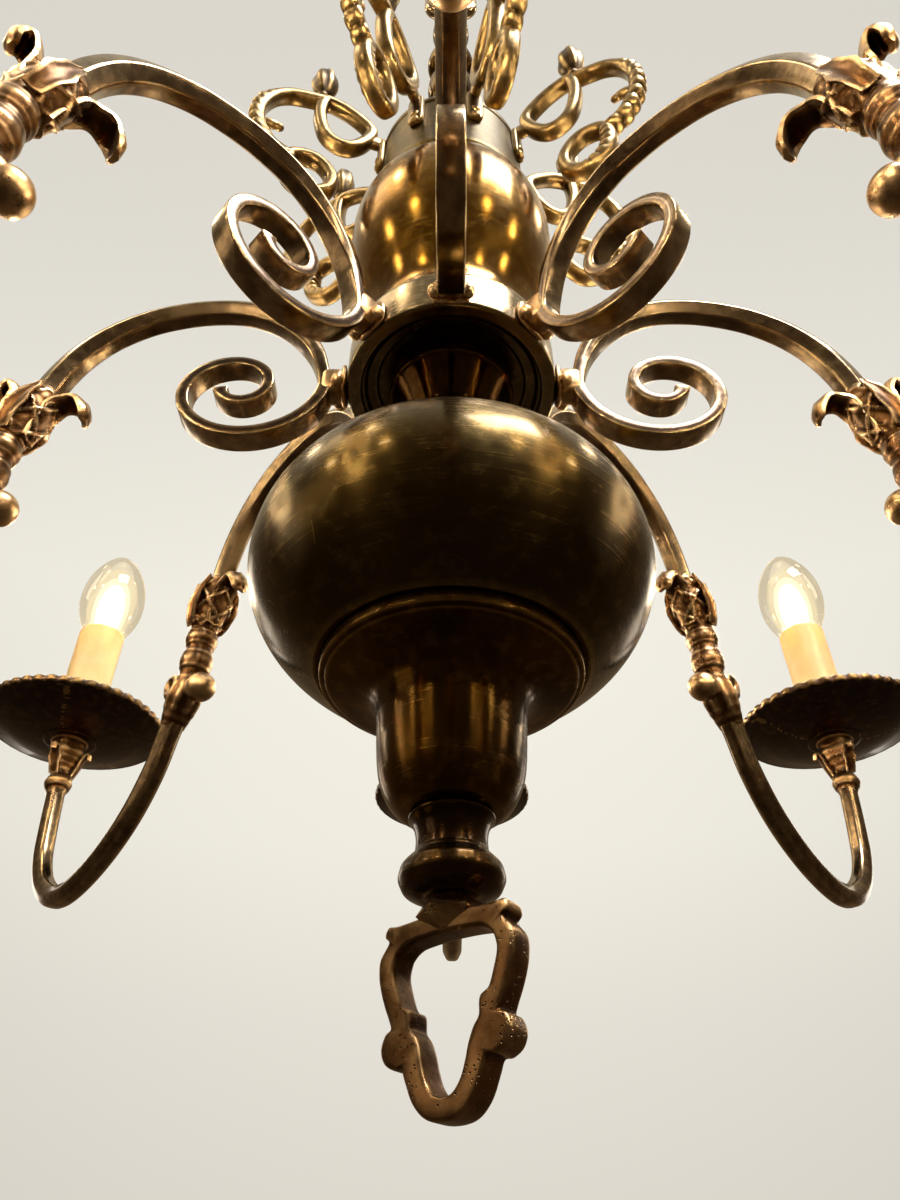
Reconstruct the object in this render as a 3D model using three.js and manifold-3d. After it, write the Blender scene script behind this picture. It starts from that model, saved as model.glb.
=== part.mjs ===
// Eight-arm turned and cast brass chandelier, millimetres, +Z up.
// The origin is the point it hangs from: the inside of the top of the suspension loop.
// The front of the object is -Y. Arm 1 points to the front and the others follow towards +X.
//
// Heights inside this file are counted up from the lowest point of the pull ring, the way the
// stack is put together on a bench, and hangHeight moves the whole light under its origin.
import * as THREE from 'three';
import { mergeVertices } from 'three/addons/utils/BufferGeometryUtils.js';
import Module from 'manifold-3d';

const wasm = await Module();
wasm.setup();

// ---------- driving dimensions ----------
const gap = 0.3;                 // clearance between pieces that touch
const armCount = 8;
const bracketCount = 8;
const bracketTurn = -72;         // azimuth of bracket 1, degrees from the front
const ringTurn = 36;             // the pull ring as it hangs, its right side turned to the front

const hangHeight = 655;          // inside top of the suspension loop
const rodRadius = 5;             // M10 threaded tube that clamps the stack
const bore = rodRadius + gap;
const wall = 1.6;                // spun brass shells

// turned stack, from the bottom up
const pullRing = { height: 43, thick: 7.5, pin: 3, pinTop: 58 };
const finial = { bottom: 45.6, beadRadius: 13, beadLevel: 50.6, spoolRadius: 8.8, spoolLevel: 59.5,
  top: 66.5, topRadius: 10.7 };
const bell = { bottom: 66.8, radius: 19.8, level: 86, shoulder: 103.5, stepRadius: 36.7, step: 107.4,
  top: 109.6 };
const ball = { radius: 60.6, half: 43.7, centre: 143.2 };
const neck = { bottom: 187.5, waist: 13.3, waistLevel: 204, bead: 16.2, beadLevel: 212.6, lip: 22.6,
  lipLevel: 232.4, collar: 20.5, top: 238.2 };
const hub = { bottom: 233.2, radius: 38.3, rim: 5.2, ceiling: 238.5, top: 253 };
const urn = { bottom: 253.3, foot: 37.4, neck: 29.8, neckLevel: 270, radius: 43.1, level: 334,
  top: 363, topRadius: 33.8 };
const collar = { bottom: 363.4, foot: 35.4, radius: 33.6, top: 414, roof: 4 };
const baluster = { bottom: 414.4, waist: 8.4, knob: 12.2, knobLevel: 503, top: 588 };
const eye = { bottom: 588.4, nut: 600, ringCentre: 618, ringRadius: 12, wire: 4 };
const loop = { wire: 4, halfWidth: 13,
  bottomCentre: eye.ringCentre + eye.ringRadius - 2 * eye.wire - 0.9 };

// arms, drip pans and candles
const candleRadius = 279;        // from the axis of the light to the axis of each candle
const volute = { r: 77.7, h: 234.8, outer: 31.5, inner: 6.5, turns: 1.47, growth: 1.6 };
const foot = { r0: hub.radius + 0.4, r1: 47, h: 238, half: 5 };
const pan = { radius: 45.5, bottom: 203, rim: 215.8, sheet: 1.8 };
const sleeve = { radius: 12, inner: 10.5, top: 272.5 };
const holder = { radius: 9.7, inner: 7.3, floor: 238, top: 262 };
const bulb = { bottom: 240, capRadius: 6.8, capTop: 262, radius: 17.5, belly: 293, tip: 329 };

// ---------- materials ----------
const metal = (colour, roughness) =>
  new THREE.MeshStandardMaterial({ color: colour, roughness, metalness: 1 });
const polished = metal('#9a7a3c', 0.28);
const darkBrass = metal('#6d5228', 0.4);
const redBrass = metal('#8f6238', 0.42);
const steel = metal('#8a8478', 0.45);
const ivory = new THREE.MeshStandardMaterial({ color: '#e9d3a6', roughness: 0.55 });
const porcelain = new THREE.MeshStandardMaterial({ color: '#d9d2c2', roughness: 0.4 });
const glass = new THREE.MeshStandardMaterial({ color: '#ffe9b8', roughness: 0.08,
  transparent: true, opacity: 0.5 });

// ---------- helpers ----------
const V2 = (x, y) => new THREE.Vector2(x, y);
const light = new THREE.Group();
light.position.z = -hangHeight;

function add(name, geometry, material, azimuth = 90) {
  const mesh = new THREE.Mesh(geometry, material);
  mesh.name = name;
  mesh.rotation.z = THREE.MathUtils.degToRad(azimuth - 90);
  light.add(mesh);
  return mesh;
}

// A turned solid from [radius, height] points listed from the bottom up along the outside.
function turned(profile, segments, centreRadius = 0) {
  const geometry = new THREE.LatheGeometry(profile.map(([r, h]) => V2(r, h)), segments);
  geometry.rotateX(Math.PI / 2);
  if (centreRadius) geometry.translate(centreRadius, 0, 0);
  return geometry;
}

// A turned piece with a straight bore right through it.
function boredTurned(outside, boreRadius, segments) {
  const first = outside[0], last = outside[outside.length - 1];
  return turned([[boreRadius, first[1]], ...outside, [boreRadius, last[1]],
    [boreRadius, first[1]]], segments);
}

// A spun shell: the outside profile and the same profile set back by the wall.
function spun(outside, thickness, segments) {
  const inside = outside.map(([r, h], i) => {
    const before = outside[Math.max(i - 1, 0)], after = outside[Math.min(i + 1, outside.length - 1)];
    const tr = after[0] - before[0], th = after[1] - before[1], length = Math.hypot(tr, th);
    const end = i === 0 || i === outside.length - 1;
    return end ? [r - thickness, h] : [r - thickness * th / length, h + thickness * tr / length];
  });
  return turned([...outside, ...inside.reverse(), outside[0]], segments);
}

// Points on an ellipse arc in the radius-height plane, angles in degrees from the horizontal.
function arc(r, h, radiusR, radiusH, from, to, steps) {
  return Array.from({ length: steps + 1 }, (_, i) => {
    const a = THREE.MathUtils.degToRad(from + (to - from) * i / steps);
    return [r + radiusR * Math.cos(a), h + radiusH * Math.sin(a)];
  });
}

// A bar along a route in the radius-height plane. Every station has a half thickness across
// the route and a half width out of the plane; the section is a bevelled bar with six sides,
// or a plain flat bar with four. A closed route makes a ring.
function bar(route, closed = false) {
  const section = route[0].flat
    ? [[1, 1], [-1, 1], [-1, -1], [1, -1]]
    : [[1, 0.45], [0, 1], [-1, 0.45], [-1, -0.45], [0, -1], [1, -0.45]];
  const n = route.length, m = section.length, position = [], index = [];
  route.forEach((s, i) => {
    const a = route[closed ? (i + n - 1) % n : Math.max(i - 1, 0)];
    const b = route[closed ? (i + 1) % n : Math.min(i + 1, n - 1)];
    const length = Math.hypot(b.r - a.r, b.h - a.h);
    const nr = (b.h - a.h) / length, nh = -(b.r - a.r) / length;
    for (const [across, out] of section) {
      position.push(s.r + nr * across * s.half, out * s.wide, s.h + nh * across * s.half);
    }
  });
  const rings = closed ? n : n - 1;
  for (let i = 0; i < rings; i++) {
    for (let k = 0; k < m; k++) {
      const a = i * m + k, b = i * m + (k + 1) % m;
      const c = ((i + 1) % n) * m + k, d = ((i + 1) % n) * m + (k + 1) % m;
      index.push(a, c, b, b, c, d);
    }
  }
  if (!closed) {
    for (let k = 1; k < m - 1; k++) {
      index.push(0, k, k + 1);
      const e = (n - 1) * m;
      index.push(e, e + k + 1, e + k);
    }
  }
  const geometry = new THREE.BufferGeometry();
  geometry.setAttribute('position', new THREE.Float32BufferAttribute(position, 3));
  geometry.setIndex(index);
  return geometry;
}

// Evenly spaced points on a smooth curve through [r, h] control points.
function smooth(points, steps, closed = false) {
  const curve = new THREE.CatmullRomCurve3(points.map(([r, h]) => new THREE.Vector3(r, 0, h)),
    closed, 'centripetal');
  const list = curve.getSpacedPoints(steps).map((p) => [p.x, p.z]);
  return closed ? list.slice(0, -1) : list;
}

function volume(geometry) {
  const p = geometry.attributes.position, ix = geometry.index;
  const count = ix ? ix.count : p.count, at = (i) => (ix ? ix.getX(i) : i);
  const a = new THREE.Vector3(), b = new THREE.Vector3(), c = new THREE.Vector3();
  let sum = 0;
  for (let i = 0; i < count; i += 3) {
    a.fromBufferAttribute(p, at(i));
    b.fromBufferAttribute(p, at(i + 1));
    c.fromBufferAttribute(p, at(i + 2));
    sum += a.dot(b.cross(c)) / 6;
  }
  return sum;
}

function solid(geometry) {
  geometry.deleteAttribute('normal');
  geometry.deleteAttribute('uv');
  const g = mergeVertices(geometry, 1e-4);
  let index = Array.from(g.index.array);
  const p = g.attributes.position.array;
  index = index.filter((_, i) => {
    const t = i - i % 3, [a, b, c] = [index[t], index[t + 1], index[t + 2]];
    return a !== b && b !== c && c !== a;
  });
  if (volume(g) < 0) index = index.reverse();
  return new wasm.Manifold(new wasm.Mesh({ numProp: 3, vertProperties: new Float32Array(p),
    triVerts: new Uint32Array(index) }));
}

function joined(pieces, cuts = []) {
  let result = solid(pieces[0]);
  for (const piece of pieces.slice(1)) result = result.add(solid(piece));
  for (const piece of cuts) result = result.subtract(solid(piece));
  const mesh = result.getMesh();
  const geometry = new THREE.BufferGeometry();
  geometry.setAttribute('position', new THREE.Float32BufferAttribute(mesh.vertProperties, 3));
  geometry.setIndex(Array.from(mesh.triVerts));
  return geometry;
}

// Faces out, whatever way round the profile or the section ran.
function outward(geometry) {
  if (volume(geometry) < 0) {
    const g = geometry.index ? geometry : mergeVertices(geometry);
    g.setIndex(Array.from(g.index.array).reverse());
    return g;
  }
  return geometry;
}

function box(r0, r1, y0, y1, h0, h1) {
  const geometry = new THREE.BoxGeometry(r1 - r0, y1 - y0, h1 - h0);
  geometry.translate((r0 + r1) / 2, (y0 + y1) / 2, (h0 + h1) / 2);
  return geometry;
}

function sphere(radius, r, y, h, sides = 8) {
  const geometry = new THREE.SphereGeometry(radius, sides, Math.max(4, sides / 2));
  geometry.translate(r, y, h);
  return geometry;
}

// ---------- pull ring ----------
// A flat cast keyhole outline: wide shoulders, a knob inside and a boss outside on each side
// at mid height, and a narrow round bottom. The right half is mirrored to make the left.
function mirrored(rightHalf) {
  return [...rightHalf, ...rightHalf.slice(1, -1).reverse().map(([x, h]) => [-x, h])];
}
const ringOutside = mirrored([
  [0, 0], [5.4, 1.4], [9.4, 5.2], [11.3, 11], [14.6, 12], [17, 15.6], [14.6, 19], [16, 22],
  [18.6, 29], [18.4, 35], [15.8, 38], [17, 40.6], [14.5, 41.6], [9, 41.2], [0, pullRing.height]]);
const ringHole = mirrored([
  [0, 4.6], [3.6, 6], [5.4, 9], [6.6, 15], [8.6, 19], [9.2, 22.4], [11, 24.4], [14, 28],
  [14, 32.5], [10.5, 36.2], [0, 37]]);
{
  const outline = new THREE.Shape(ringOutside.map(([x, h]) => V2(x, h)));
  outline.holes.push(new THREE.Path(ringHole.map(([x, h]) => V2(x, h))));
  const plate = new THREE.ExtrudeGeometry(outline, { depth: pullRing.thick, bevelEnabled: false });
  plate.translate(0, 0, -pullRing.thick / 2);
  plate.rotateX(Math.PI / 2);
  const lump = new THREE.CylinderGeometry(3.6, 7, 5, 4);
  lump.rotateX(Math.PI / 2);
  lump.translate(0, 0, pullRing.height - 0.6);
  const pin = new THREE.CylinderGeometry(pullRing.pin, pullRing.pin, pullRing.pinTop - 40, 12);
  pin.rotateX(Math.PI / 2);
  pin.translate(0, 0, (pullRing.pinTop + 40) / 2);
  add('pull_ring', joined([plate, lump, pin]), redBrass, 90 - ringTurn);
}

// ---------- turned stack ----------
{
  const f = finial, b = f.beadLevel;
  add('bottom_finial', outward(turned([
    [0, pullRing.pinTop + 1], [pullRing.pin + gap, pullRing.pinTop + 1], [pullRing.pin + gap, f.bottom],
    [8.6, f.bottom], ...arc(8.6, b, f.beadRadius - 8.6, 5, -60, 60, 3), [8.9, 56.5],
    [f.spoolRadius, f.spoolLevel], [9.3, 63], [f.topRadius, f.top - 1], [f.topRadius, f.top],
    [0, f.top]], 16)), polished);

  add('bell_cup', outward(spun([
    [10.7, bell.bottom], [15.4, 69.4], [18.4, 75], [bell.radius, bell.level],
    [21.4, bell.shoulder - 2], [25, bell.shoulder + 1.8], [bell.stepRadius - 1, bell.step],
    [bell.stepRadius, bell.step + 0.6], [bell.stepRadius, bell.top]], wall, 24)), polished);

  // the ball is open at the bottom, over the bell, and at the top, under the neck
  const open = THREE.MathUtils.radToDeg(Math.acos((bell.stepRadius - 1) / ball.radius));
  const crown = THREE.MathUtils.radToDeg(Math.acos(12 / ball.radius));
  const shell = arc(0, ball.centre, ball.radius, ball.half, -open, crown, 8)
    .filter(([, h]) => h > bell.top - 4);
  shell[0] = [bell.stepRadius - 2.2, bell.top + gap];
  shell.splice(1, 0, [bell.stepRadius + 1.6, bell.top + gap]);
  const innerArc = arc(0, ball.centre, ball.radius - wall, ball.half - wall, crown, -open + 6, 7);
  add('lower_ball', outward(turned([...shell, ...innerArc, shell[0]], 24)), polished);

  add('lower_neck', outward(boredTurned([
    [15.5, neck.bottom], [16.5, neck.bottom + 2], [15, neck.bottom + 4.5], [13.6, 198],
    [neck.waist, neck.waistLevel], [neck.bead - 0.8, neck.beadLevel - 1.8], [neck.bead, neck.beadLevel],
    [neck.bead - 0.8, neck.beadLevel + 1.8], [neck.lip - 1.2, neck.lipLevel - 2.8],
    [neck.lip, neck.lipLevel - 0.8], [neck.lip, neck.lipLevel + 0.6],
    [neck.collar, neck.lipLevel + 1.4], [neck.collar, neck.top]], bore, 20)), darkBrass);

  add('arm_hub', outward(boredTurned([
    [27.3, hub.ceiling], [27.3, hub.ceiling - 1.1], [31.2, hub.ceiling - 1.3],
    [hub.radius - hub.rim, hub.bottom + 1.8], [hub.radius - hub.rim, hub.bottom],
    [hub.radius, hub.bottom], [hub.radius, hub.top - 1.6], [hub.radius - 0.8, hub.top]],
  bore, 24)), polished);

  add('upper_urn', outward(spun([
    [urn.foot, urn.bottom], [33.8, urn.bottom + 4], [30.9, urn.bottom + 10.4],
    [urn.neck, urn.neckLevel], [33, 286], [37.4, 300], [41, 314], [42.8, 326],
    [urn.radius, urn.level], [42.3, 343], [39.8, 352], [urn.topRadius, urn.top]],
  wall, 24)), polished);

  const c = collar;
  add('ornament_collar', outward(turned([
    [bore, c.top - c.roof], [c.radius - 3, c.top - c.roof], [c.foot - 3, c.bottom],
    [c.foot, c.bottom], [c.radius, c.top - 2], [c.radius - 1.6, c.top],
    [bore, c.top], [bore, c.top - c.roof]], 24)), darkBrass);

  const k = baluster;
  add('top_baluster', outward(boredTurned([
    [19, k.bottom], [18, 420], [10.8, 433], [k.waist, 458], [8.8, 480], [k.knob, k.knobLevel - 4],
    [k.knob, k.knobLevel + 4], [7.8, 523], [13.2, 534], [13.2, 540], [8.2, 549], [8, 570],
    [11, k.top - 6], [11, k.top]], bore, 16)), polished);
}

{
  const rod = new THREE.CylinderGeometry(rodRadius, rodRadius, eye.bottom - 1 - 67, 12);
  rod.rotateX(Math.PI / 2);
  rod.translate(0, 0, (eye.bottom - 1 + 67) / 2);
  add('central_rod', rod, steel);
}

// ---------- suspension eye and loop ----------
// The eye stands across the loop, so the light can swing on the loop's lower bar.
{
  const route = arc(0, eye.ringCentre, eye.ringRadius, eye.ringRadius, -90, 270, 14).slice(0, -1)
    .map(([r, h]) => ({ r, h, half: eye.wire, wide: eye.wire }));
  const shank = turned([[0, eye.bottom], [9.6, eye.bottom], [11, eye.bottom + 3],
    [9.6, eye.nut - 4], [5.5, eye.nut], [4.6, eye.ringCentre - eye.ringRadius],
    [0, eye.ringCentre - eye.ringRadius]], 12);
  add('suspension_eye', joined([shank, bar(route, true)]), redBrass, 0);
}
{
  const top = hangHeight + loop.wire, low = loop.bottomCentre;
  const w = loop.halfWidth;
  const route = [
    ...arc(0, low + w, w, w, 180, 360, 8), ...arc(0, top - w, w, w, 0, 180, 8)]
    .map(([r, h]) => ({ r, h, half: loop.wire, wide: loop.wire }));
  add('suspension_loop', outward(bar(route, true)), darkBrass);
}

// ---------- arms ----------
// Route of one arm in its own radius-height plane, from the eye of the volute to the cup under
// the drip pan. "half" is half the thickness in the plane, "wide" half the width across it.
function voluteRoute(steps) {
  return Array.from({ length: steps + 1 }, (_, i) => {
    const t = i / steps;
    const angle = Math.PI * (1 - 2 * volute.turns * (t - 1));
    const radius = volute.inner + (volute.outer - volute.inner) * t ** volute.growth;
    return { r: volute.r + radius * Math.cos(angle), h: volute.h + radius * Math.sin(angle),
      half: 1.9 + 0.5 * t, wide: 4.1 + 0.3 * t };
  });
}
const archRoute = smooth([
  [47.4, 243], [51, 256], [57.4, 268], [67, 278.6], [80, 285.4], [94, 286.6], [107, 284.4],
  [120, 279], [132, 269.4], [140.3, 257.9], [145.6, 245], [149, 231]], 9);
const lowerRoute = smooth([
  [151.6, 222], [155.4, 209], [156.4, 194], [158, 181], [162.6, 171], [167.4, 160], [172.8, 146.2],
  [182.6, 132.4], [195.2, 121.8], [210.2, 114.2], [227, 110.2], [242, 112.4], [257, 121.8],
  [267, 136], [272, 152], [275.4, 168], [277.6, 180], [candleRadius - 0.3, 190], [candleRadius, 196],
  [candleRadius, pan.bottom - gap]], 19);

// leaf collar, turned rings and boss where the arch becomes the lower arm, and the cup on top:
// each is a swelling at a place along the lower route
const swellings = [
  { at: 0.03, reach: 0.05, size: 4.2 }, { at: 0.11, reach: 0.035, size: 2.6 },
  { at: 0.19, reach: 0.045, size: 3.2 }, { at: 0.865, reach: 0.03, size: 1.6 },
  { at: 1.0, reach: 0.075, size: 5.6 }];
function lowerHalf(t) {
  const base = THREE.MathUtils.lerp(5.3, 4.6, t);
  return swellings.reduce((half, s) => {
    const d = Math.abs(t - s.at) / s.reach;
    return half + (d < 1 ? s.size * 0.5 * (1 + Math.cos(Math.PI * d)) : 0);
  }, base);
}

function armGeometry() {
  const arch = archRoute.map(([r, h], i) => {
    const t = i / (archRoute.length - 1);
    const grow = THREE.MathUtils.smoothstep(t, 0, 0.35);
    return { r, h, half: THREE.MathUtils.lerp(2.6, 5, grow), wide: THREE.MathUtils.lerp(4.4, 5.3, grow) };
  });
  const lower = lowerRoute.map(([r, h], i) => {
    const half = lowerHalf(i / (lowerRoute.length - 1));
    return { r, h, half, wide: half };
  });
  const route = [...voluteRoute(13), ...arch, ...lower];
  return joined([
    bar(route),
    box(foot.r0 + 1, foot.r1, -foot.half, foot.half, foot.h - 5, foot.h + 5),
    box(foot.r0, foot.r0 + 2.2, -8.5, 8.5, foot.h - 7, foot.h + 7),
    sphere(6, 148, 0, 175.5, 6),
  ]);
}

const arm = armGeometry();
const panGeometry = outward(turned([
  [0, pan.bottom], [14, pan.bottom], [36, pan.rim - 7.2], [pan.radius, pan.rim - 3.4],
  [pan.radius, pan.rim - 1], [pan.radius - 2, pan.rim], [pan.radius - 3.4, pan.rim - 2.2],
  [34, pan.rim - 5], [13.4, pan.bottom + pan.sheet], [0, pan.bottom + pan.sheet]],
16, candleRadius));
const floor = pan.bottom + pan.sheet + gap;
const sleeveBottom = floor + 1.2;
const sleeveGeometry = outward(turned([
  [sleeve.inner, sleeveBottom], [sleeve.radius, sleeveBottom], [sleeve.radius, sleeve.top],
  [sleeve.inner, sleeve.top], [sleeve.inner, sleeveBottom]], 12, candleRadius));
const holderGeometry = outward(turned([
  [0, floor], [holder.radius, floor], [holder.radius, holder.top], [holder.inner, holder.top],
  [holder.inner, holder.floor], [0, holder.floor]], 12, candleRadius));
const bulbGeometry = outward(turned([
  [0, bulb.bottom], [bulb.capRadius, bulb.bottom + 2], [bulb.capRadius, bulb.capTop],
  [9.4, 271.6], [14.8, 282], [bulb.radius, bulb.belly], [16.6, 306], [11.6, 319], [5.4, 326.6],
  [0, bulb.tip]], 10, candleRadius));

for (let i = 0; i < armCount; i++) {
  const azimuth = i * 360 / armCount;
  add(`arm_${i + 1}`, arm, redBrass, azimuth);
  add(`drip_pan_${i + 1}`, panGeometry, darkBrass, azimuth);
  add(`candle_sleeve_${i + 1}`, sleeveGeometry, ivory, azimuth);
  add(`lamp_holder_${i + 1}`, holderGeometry, porcelain, azimuth);
  add(`bulb_${i + 1}`, bulbGeometry, glass, azimuth);
}

// ---------- ornament brackets ----------
// A flat cast scroll: a ring next to the collar, a bud standing on it, a C-scroll over the top
// and a second ring hanging inside the scroll's lower end, beside the urn.
const strapHalf = 2.9, strapWide = 3.5;
function bracketGeometry() {
  const strap = (points, half, steps, closed) => bar(smooth(points, steps, closed)
    .map(([r, h]) => ({ r, h, half, wide: strapWide, flat: true })), closed);
  const ringNear = strap([[41, 419.6], [49, 430], [58, 435.6], [65, 436], [66.4, 422], [63, 404.6],
    [57, 397], [50, 397.4], [43.6, 407]], strapHalf, 9, true);
  const scroll = strap([[64.6, 436], [73, 434.6], [82.4, 431.2], [89.4, 423], [93.4, 409],
    [92.2, 394], [88.4, 384], [83, 376], [76, 371.6]], strapHalf, 8, false);
  const ringFar = strap([[75, 373], [67.4, 376], [60.6, 372.4], [56, 363], [56.8, 353], [61.2, 347.4],
    [67, 346.4], [74, 352.4], [77, 363]], strapHalf, 9, true);
  const bud = turned([[0, 430], [2.8, 434], [2.8, 442], [6, 454], [5.4, 464], [0, 474]], 6, 67);
  const innerBud = box(82.5, 91, -2.2, 2.2, 395, 399.4);
  const plateFace = collar.foot + gap - 0.8;
  const plate = box(plateFace, plateFace + 2, -4, 4, 387, collar.top - 1);
  const stem = box(plateFace + 1, 43, -2.6, 2.6, 407, 416);
  return joined([ringNear, scroll, ringFar, bud, innerBud, plate, stem]);
}
const bracket = bracketGeometry();
for (let i = 0; i < bracketCount; i++) {
  add(`ornament_bracket_${i + 1}`, bracket, redBrass, bracketTurn + i * 360 / bracketCount);
}

export default light;
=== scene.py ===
# Looks of the eight-arm brass chandelier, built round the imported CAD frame.
# Shapes are written in millimetres as (R, H): distance from the axis of the light and height above
# the lowest point of the pull ring. metres() turns them into the frame's own coordinates.
import math
import random
import bmesh
import bpy
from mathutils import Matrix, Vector


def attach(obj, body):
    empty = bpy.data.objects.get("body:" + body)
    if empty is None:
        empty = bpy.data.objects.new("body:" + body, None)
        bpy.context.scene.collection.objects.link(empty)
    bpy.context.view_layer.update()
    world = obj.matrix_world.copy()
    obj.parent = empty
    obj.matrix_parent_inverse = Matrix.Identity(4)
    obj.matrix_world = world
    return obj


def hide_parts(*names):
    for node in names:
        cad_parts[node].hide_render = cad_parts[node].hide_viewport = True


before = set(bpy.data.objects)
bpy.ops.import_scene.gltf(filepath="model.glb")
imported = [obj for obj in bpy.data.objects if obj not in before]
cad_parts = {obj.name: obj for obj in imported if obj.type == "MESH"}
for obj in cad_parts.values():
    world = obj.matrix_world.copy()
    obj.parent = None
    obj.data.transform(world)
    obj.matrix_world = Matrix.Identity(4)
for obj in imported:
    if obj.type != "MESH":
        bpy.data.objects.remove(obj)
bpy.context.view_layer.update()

HANG = 655.0              # the origin, inside the top of the loop, above the lowest point
ARMS = 8
CANDLE_R = 279.0          # axis of the light to the axis of each candle
HUB_R = 38.3              # outside of the hub's wall, where the arms are fixed
COLLAR_R = 34.0           # outside of the collar, where the brackets are fixed
BRACKETS = 8
BRACKET_TURN = -72.0      # azimuth of bracket 1, degrees from the front
RING_TURN = 36.0          # the pull ring's right side is turned to the front
random.seed(7)


# ---------- numbers ----------
def lerp(a, b, t):
    return a + (b - a) * t


def ease(t):
    t = min(max(t, 0.0), 1.0)
    return t * t * (3 - 2 * t)


def bulge(v, exponent):
    """A sine or cosine raised to an exponent, its sign kept: below 1 it squares a circle."""
    return math.copysign(abs(v) ** exponent, v)


def table(pairs, x):
    """The value at x in a list of (x, value) pairs in rising order, eased between them."""
    if x <= pairs[0][0]:
        return pairs[0][1]
    for (x0, v0), (x1, v1) in zip(pairs, pairs[1:]):
        if x <= x1:
            return lerp(v0, v1, ease((x - x0) / (x1 - x0)))
    return pairs[-1][1]


def metres(p):
    """A point (x, y, height) in millimetres in the frame's own coordinates."""
    return (p[0] / 1000, p[1] / 1000, (p[2] - HANG) / 1000)


def smooth(points, count, closed=False):
    """count + 1 evenly spaced points on a curve through the points (count if it is closed)."""
    n = len(points)
    dims = len(points[0])
    pick = (lambda i: points[i % n]) if closed else (lambda i: points[min(max(i, 0), n - 1)])
    dense = []
    for i in range(n if closed else n - 1):
        a, b, c, d = (pick(i + k) for k in (-1, 0, 1, 2))
        for s in range(24):
            t = s / 24
            dense.append(tuple(0.5 * (2 * b[k] + (c[k] - a[k]) * t
                                      + (2 * a[k] - 5 * b[k] + 4 * c[k] - d[k]) * t * t
                                      + (3 * b[k] - a[k] - 3 * c[k] + d[k]) * t ** 3)
                               for k in range(dims)))
    dense.append(dense[0] if closed else tuple(points[-1]))
    return resample(dense, count)[:-1] if closed else resample(dense, count)


def resample(line, count):
    """count + 1 points evenly spaced along a line of points."""
    run = [0.0]
    for a, b in zip(line, line[1:]):
        run.append(run[-1] + math.dist(a, b))
    out, j = [], 0
    for i in range(count + 1):
        want = run[-1] * i / count
        while j < len(run) - 2 and run[j + 1] < want:
            j += 1
        t = (want - run[j]) / max(run[j + 1] - run[j], 1e-9)
        out.append(tuple(lerp(a, b, min(t, 1)) for a, b in zip(line[j], line[j + 1])))
    return out


def rounded(corners, cut, steps, closed=False):
    """A line, or a closed polygon, with its corners cut back by up to cut and rounded."""
    n, out = len(corners), []
    for i, p in enumerate(corners):
        if not closed and i in (0, n - 1):
            out.append(p)
            continue
        a, b = corners[i - 1], corners[(i + 1) % n]
        la, lb = math.dist(p, a), math.dist(p, b)
        c = min(cut, 0.45 * la, 0.45 * lb)
        s = [lerp(p[k], a[k], c / la) for k in (0, 1)]
        e = [lerp(p[k], b[k], c / lb) for k in (0, 1)]
        for q in range(steps + 1):
            t = q / steps
            out.append(tuple((1 - t) ** 2 * s[k] + 2 * t * (1 - t) * p[k] + t * t * e[k]
                             for k in (0, 1)))
    return out


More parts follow.
